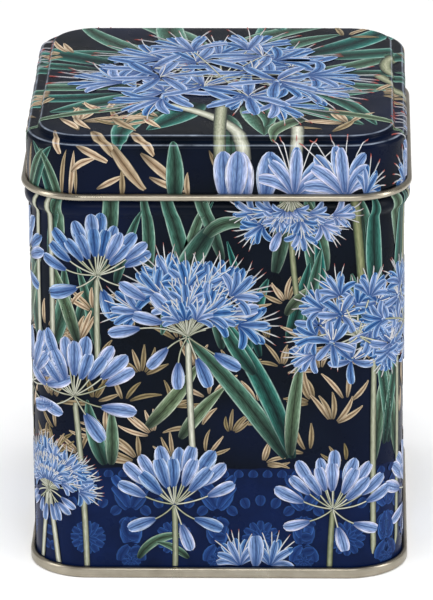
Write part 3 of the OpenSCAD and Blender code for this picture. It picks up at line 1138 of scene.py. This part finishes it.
def onto_lid(x, y, lift):
    """Lays flat print on the lid: what lies past the panel's edge goes on down the section by the same
    distance. The section's own direction out comes from its slope there."""
    past, out = past_panel(x, y)
    beyond = np.clip(past, 0.0, SKIRT_FOOT)
    run = panel_run + beyond
    across, up = (np.interp(run, lid_run, lid_skin[:, k]) for k in (0, 1))
    ahead = [np.interp(run + 0.04, lid_run, lid_skin[:, k]) for k in (0, 1)]
    behind = [np.interp(run - 0.04, lid_run, lid_skin[:, k]) for k in (0, 1)]
    slope = np.stack([ahead[0] - behind[0], ahead[1] - behind[1]], -1)
    slope /= np.linalg.norm(slope, axis=-1, keepdims=True)
    side, rise = -slope[..., 1], slope[..., 0]
    flat = np.stack([x, y], -1) - np.maximum(past, 0.0)[..., None] * out
    level = flat + (np.where(past > 0, across - lid_panel_x, 0.0) + lift * side)[..., None] * out
    points = np.concatenate([level, (up + lift * rise)[..., None]], -1)
    return points, np.concatenate([out * side[..., None], rise[..., None]], -1)


def lid_pace(x, y):
    """Points follow closely where the sheet steps down from the panel to the skirt."""
    past = past_panel(x, y)[0]
    return 1.0 + 9.0 * ((past > -0.2) & (past < SKIRT_TOP + 0.3))


def turned(marks, quarters):
    """The same marks turned round the lid's middle by that many quarter turns."""
    turn = quarters * math.pi / 2
    cos, sin = round(math.cos(turn)), round(math.sin(turn))
    made = marks.copy()
    made[:, 1] = marks[:, 1] * cos - marks[:, 2] * sin
    made[:, 2] = marks[:, 1] * sin + marks[:, 2] * cos
    made[:, 3] += 90 * quarters
    return made


def skirt_marks(seed, flip):
    """The marks that belong to one side of the skirt: willow leaves on one half, flowers on the other."""
    ink = Sheet(seed)
    low, high = -PANEL_HALF - SKIRT_FOOT, -PANEL_HALF - SKIRT_TOP
    ink.group(0.05)
    for x, share, heading, length, width, tone in (
        (-30.0, 0.0, 76, 9.5, 1.6, 0.4), (-27.5, -0.1, 62, 9.5, 1.9, 0.85), (-26.0, 0.5, 34, 6.5, 1.7, 1.0),
        (-24.0, 1.1, -24, 7.5, 1.8, 0.9), (-18.5, 1.25, -56, 13.0, 2.8, 0.6), (-20.5, 0.1, 30, 6.0, 1.4, 0.9),
        (-13.0, 0.95, -42, 10.5, 2.4, 0.75), (-11.5, 0.4, -34, 7.5, 1.6, 0.85),
        (-25.0, 0.0, 84, 5.0, 1.2, 0.4),
        (-16.0, -0.1, 88, 5.5, 1.3, 0.3), (-4.5, -0.1, 98, 5.0, 1.3, 0.6), (-31.5, 0.9, -100, 8.0, 1.5, 0.3),
        (-1.0, 1.0, -70, 8.0, 1.5, 0.4),
    ):
        y, bend = low + share * (high - low), ink.jitter(24)
        ink.mark("sprig", x, y, heading + ink.jitter(6), length, 0.8 * width, bend, tone)
    for x, heading, length, width, turn, tone in (
        (-33.5, 92, 15, 3.4, -14, 0.2), (-30.5, 100, 13, 2.6, -10, 0.5), (-7.0, 86, 12, 3.2, 10, 0.3),
    ):
        ink.mark("leaf", x, low - 1.5, heading, length, width, turn, tone)
    ink.group(0.09)
    for x, tone in ((1.6, 0.7), (5.2, 0.95), (8.6, 0.6), (3.4, 0.85)):
        bud(ink, x, low - 0.8, 92 + ink.jitter(10), 1.85, tone)
    trumpet(ink, 13.6, low - 0.6, 84, 1.65, 0.8)
    trumpet(ink, 22.5, low - 0.8, 98, 1.75, 0.95)
    trumpet(ink, 28.5, low + 0.2, 66, 1.1, 0.4)
    return ink.rows(flip)


def lid_marks():
    """All of the lid's marks, from back to front."""
    ink = Sheet(5)
    ink.group(0.02)
    for i in range(LID_LEAVES):
        away = 360 * (i + ink.rng.uniform(0.1, 0.9)) / LID_LEAVES
        front = math.sin(math.radians(away)) < -0.45
        near, tone = ink.rng.uniform(13, 22), ink.rng.uniform(0.0, 0.45)
        x, y = near * math.cos(math.radians(away)), near * math.sin(math.radians(away))
        length, width = ink.rng.uniform(22, 34) * (0.6 if front else 1.0), ink.rng.uniform(3.6, 6.4)
        ink.mark("leaf", x, y, away + ink.jitter(30), length, width, ink.jitter(60), tone)
    for x, y, heading, tone in (
        (-19, -19, 130, 0.9), (-9.5, -22, 170, 1.0), (-16, -26, 110, 0.3), (-24, -24, 60, 0.8),
        (10, -27, 60, 0.3), (23, -25, 120, 0.9), (-26, 14, 160, 0.6), (22, 24, 60, 0.4),
        (27, -8, 20, 0.5), (-28, -8, 200, 0.7),
    ):
        ink.group(0.06)
        sprig(ink, x, y, heading, 1.6, tone)
    for x, y, heading, length, width, turn, tone in (
        (-23.5, -28.5, 104, 8.0, 2.2, 30, 0.2), (-27.0, -22.0, -50, 7.0, 2.0, -20, 1.0),
        (-24.5, -21.0, -80, 7.5, 1.9, 30, 0.95), (-18.0, -21.5, -64, 8.5, 2.4, 12, 0.5),
        (20.0, -29.0, 50, 8.0, 2.2, 20, 0.3), (26.5, -22.0, 130, 9.0, 2.2, 30, 0.5),
        (-22.0, -27.5, -62, 11.0, 2.6, 10, 0.5), (-15.0, -29.0, -48, 9.0, 2.2, -10, 0.8),
        (-27.5, -28.0, -96, 8.0, 1.7, 20, 0.9), (-12.5, -21.0, -74, 7.0, 2.0, 24, 1.0),
    ):
        ink.mark("sprig", x, y, heading, length, 0.8 * width, turn, tone)
    # stems that run off the front and the right
    ink.mark("stem", -9.5, -14, -26, 29, 2.7, -64, 0.85)
    ink.mark("stem", 1.0, -6, -92, 33, 2.3, 4, 0.45)
    ink.mark("leaf", 5.0, -14, -40, 14, 3.4, -70, 0.35)
    ink.mark("leaf", 15.5, -22, 208, 12, 3.6, 66, 0.7)
    ink.mark("stem", 14.0, -25, -86, 17, 2.4, -16, 0.95)
    ink.mark("stem", 31.5, 14, -128, 12, 2.4, 70, 0.3)
    ink.mark("stem", 27.5, 3.5, -66, 16, 2.4, 30, 0.3)
    ink.mark("leaf", -8.0, -16, 178, 30, 2.3, 46, 0.62)
    ink.mark("leaf", 18.0, -18, -10, 18, 2.3, -36, 0.75)
    ink.group(0.08)
    ball_head(ink, 0.5, 0.5, 2.15, 0.3, 27, -0.8, 0.76)
    panel = ink.rows()
    panel[:, 8] *= LID_FILM / panel[:, 8].max()
    skirts = [turned(skirt_marks(seed, flip), k)
              for k, (seed, flip) in enumerate(((3, 1), (8, -1), (13, 1), (19, -1)))]
    return np.concatenate([panel] + skirts)


LID_ALONG = {"leaf": 50, "sprig": 16, "stem": 44, "petal": 14, "stamen": 13}
LID_ACROSS = {"leaf": 9, "sprig": 5, "stem": 7, "petal": 5, "stamen": 2}
lid_art = print_piece("print_lid", lid_marks(), onto_lid, inks, LID_ALONG, LID_ACROSS, lid_pace)
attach(lid_art, "slip_lid")


# ---- Grip knob ----
# A small turned aluminium knob on the plug lid: foot, waist and round-edged head, riveted over under the
# pan. Its faces keep the fine rings that the lathe left.
KNOB_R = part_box("grip_knob")[1][0] / MM
KNOB_H = 5.8
HEAD_EDGE = 1.1
NECK_R = 2.6
SEAT_R = 3.8
SEAT_H = 0.7
SHANK_R = 1.2
RIVET_R = 2.4
RIVET_H = 0.6
knob_low, knob_high = (corner[2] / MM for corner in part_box("grip_knob"))


def rounded(outline, radius, steps=5):
    """An outline (radius, height) with each inner corner rounded: a quadratic curve from the point at that
    distance before the corner to the one after it, drawn towards the corner."""
    made = [outline[:1]]
    for before, corner, after in zip(outline, outline[1:], outline[2:]):
        to, on = before - corner, after - corner
        start = corner + to * min(0.45, radius / np.linalg.norm(to))
        end = corner + on * min(0.45, radius / np.linalg.norm(on))
        t = np.linspace(0.0, 1.0, steps)[:, None]
        made.append((1 - t) ** 2 * start + 2 * t * (1 - t) * corner + t ** 2 * end)
    return np.concatenate(made + [outline[-1:]])


def lathed(name, outline, rounds, finish):
    """An outline from the axis out and back to it, turned round the upright axis."""
    turn = np.arange(rounds) * 2 * math.pi / rounds
    radius, height = outline[1:-1, 0], outline[1:-1, 1]
    ring = np.stack([np.cos(turn)[:, None] * radius, np.sin(turn)[:, None] * radius], -1)
    up = np.broadcast_to(height[None, :, None], ring.shape[:2] + (1,))
    grid = np.concatenate([ring, up], -1).reshape(-1, 3)
    across = len(radius)
    faces = ring_faces(rounds, across, False).tolist()
    faces += fan(rounds, across, 0, len(grid)) + fan(rounds, across, across - 1, len(grid) + 1)
    ends = np.array([[0.0, 0.0, outline[0, 1]], [0.0, 0.0, outline[-1, 1]]])
    points = np.concatenate([grid, ends])
    return piece(name, points, facing_out(faces, points), [finish])


def turned_metal(name, colour):
    """Lathe-turned metal: fine rings about the axis in its gloss and its relief."""
    made, tree, shader = material(name)
    place = own_place(tree)
    flat = node(tree, "ShaderNodeVectorMath", {0: place, 1: (1.0, 1.0, 0.0)}, operation="MULTIPLY").outputs[0]
    far = node(tree, "ShaderNodeVectorMath", {0: flat}, operation="LENGTH").outputs["Value"]
    rings = node(tree, "ShaderNodeTexNoise", {"W": far, "Scale": 9000.0, "Detail": 2.0},
                 noise_dimensions="1D").outputs["Fac"]
    worn = between(tree, noise(tree, place, 500.0, 4.0), 0.86, 1.0)
    feed(tree, shader, {
        "Base Color": mixed(tree, worn, (0.2, 0.2, 0.2, 1.0), colour), "Metallic": 1.0,
        "Roughness": between(tree, rings, 0.22, 0.4), "Normal": relief(tree, rings, 0.3, 0.02),
    })
    return made


knob_seat = knob_high - KNOB_H
turn = np.linspace(0.0, math.pi, 13)
head = np.stack([KNOB_R - HEAD_EDGE + HEAD_EDGE * np.sin(turn),
                 knob_high - HEAD_EDGE + HEAD_EDGE * np.cos(turn)], -1)
neck = rounded(np.array([
    head[-1], [NECK_R, knob_high - 2 * HEAD_EDGE], [NECK_R, knob_seat + SEAT_H],
    [SEAT_R, knob_seat + SEAT_H], [SEAT_R, knob_seat], [SHANK_R, knob_seat],
    [SHANK_R, knob_low + RIVET_H], [RIVET_R, knob_low + RIVET_H], [RIVET_R, knob_low], [0.0, knob_low],
]), 0.22)
face = np.array([[0.0, knob_high], [0.5, knob_high], [KNOB_R - 1.6, knob_high]])
knob = lathed("grip_knob_turned", np.concatenate([face, head, neck[1:]]), 120,
              turned_metal("turned_aluminium", paint(206, 208, 210)))
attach(knob, "plug_lid_body")
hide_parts("grip_knob")
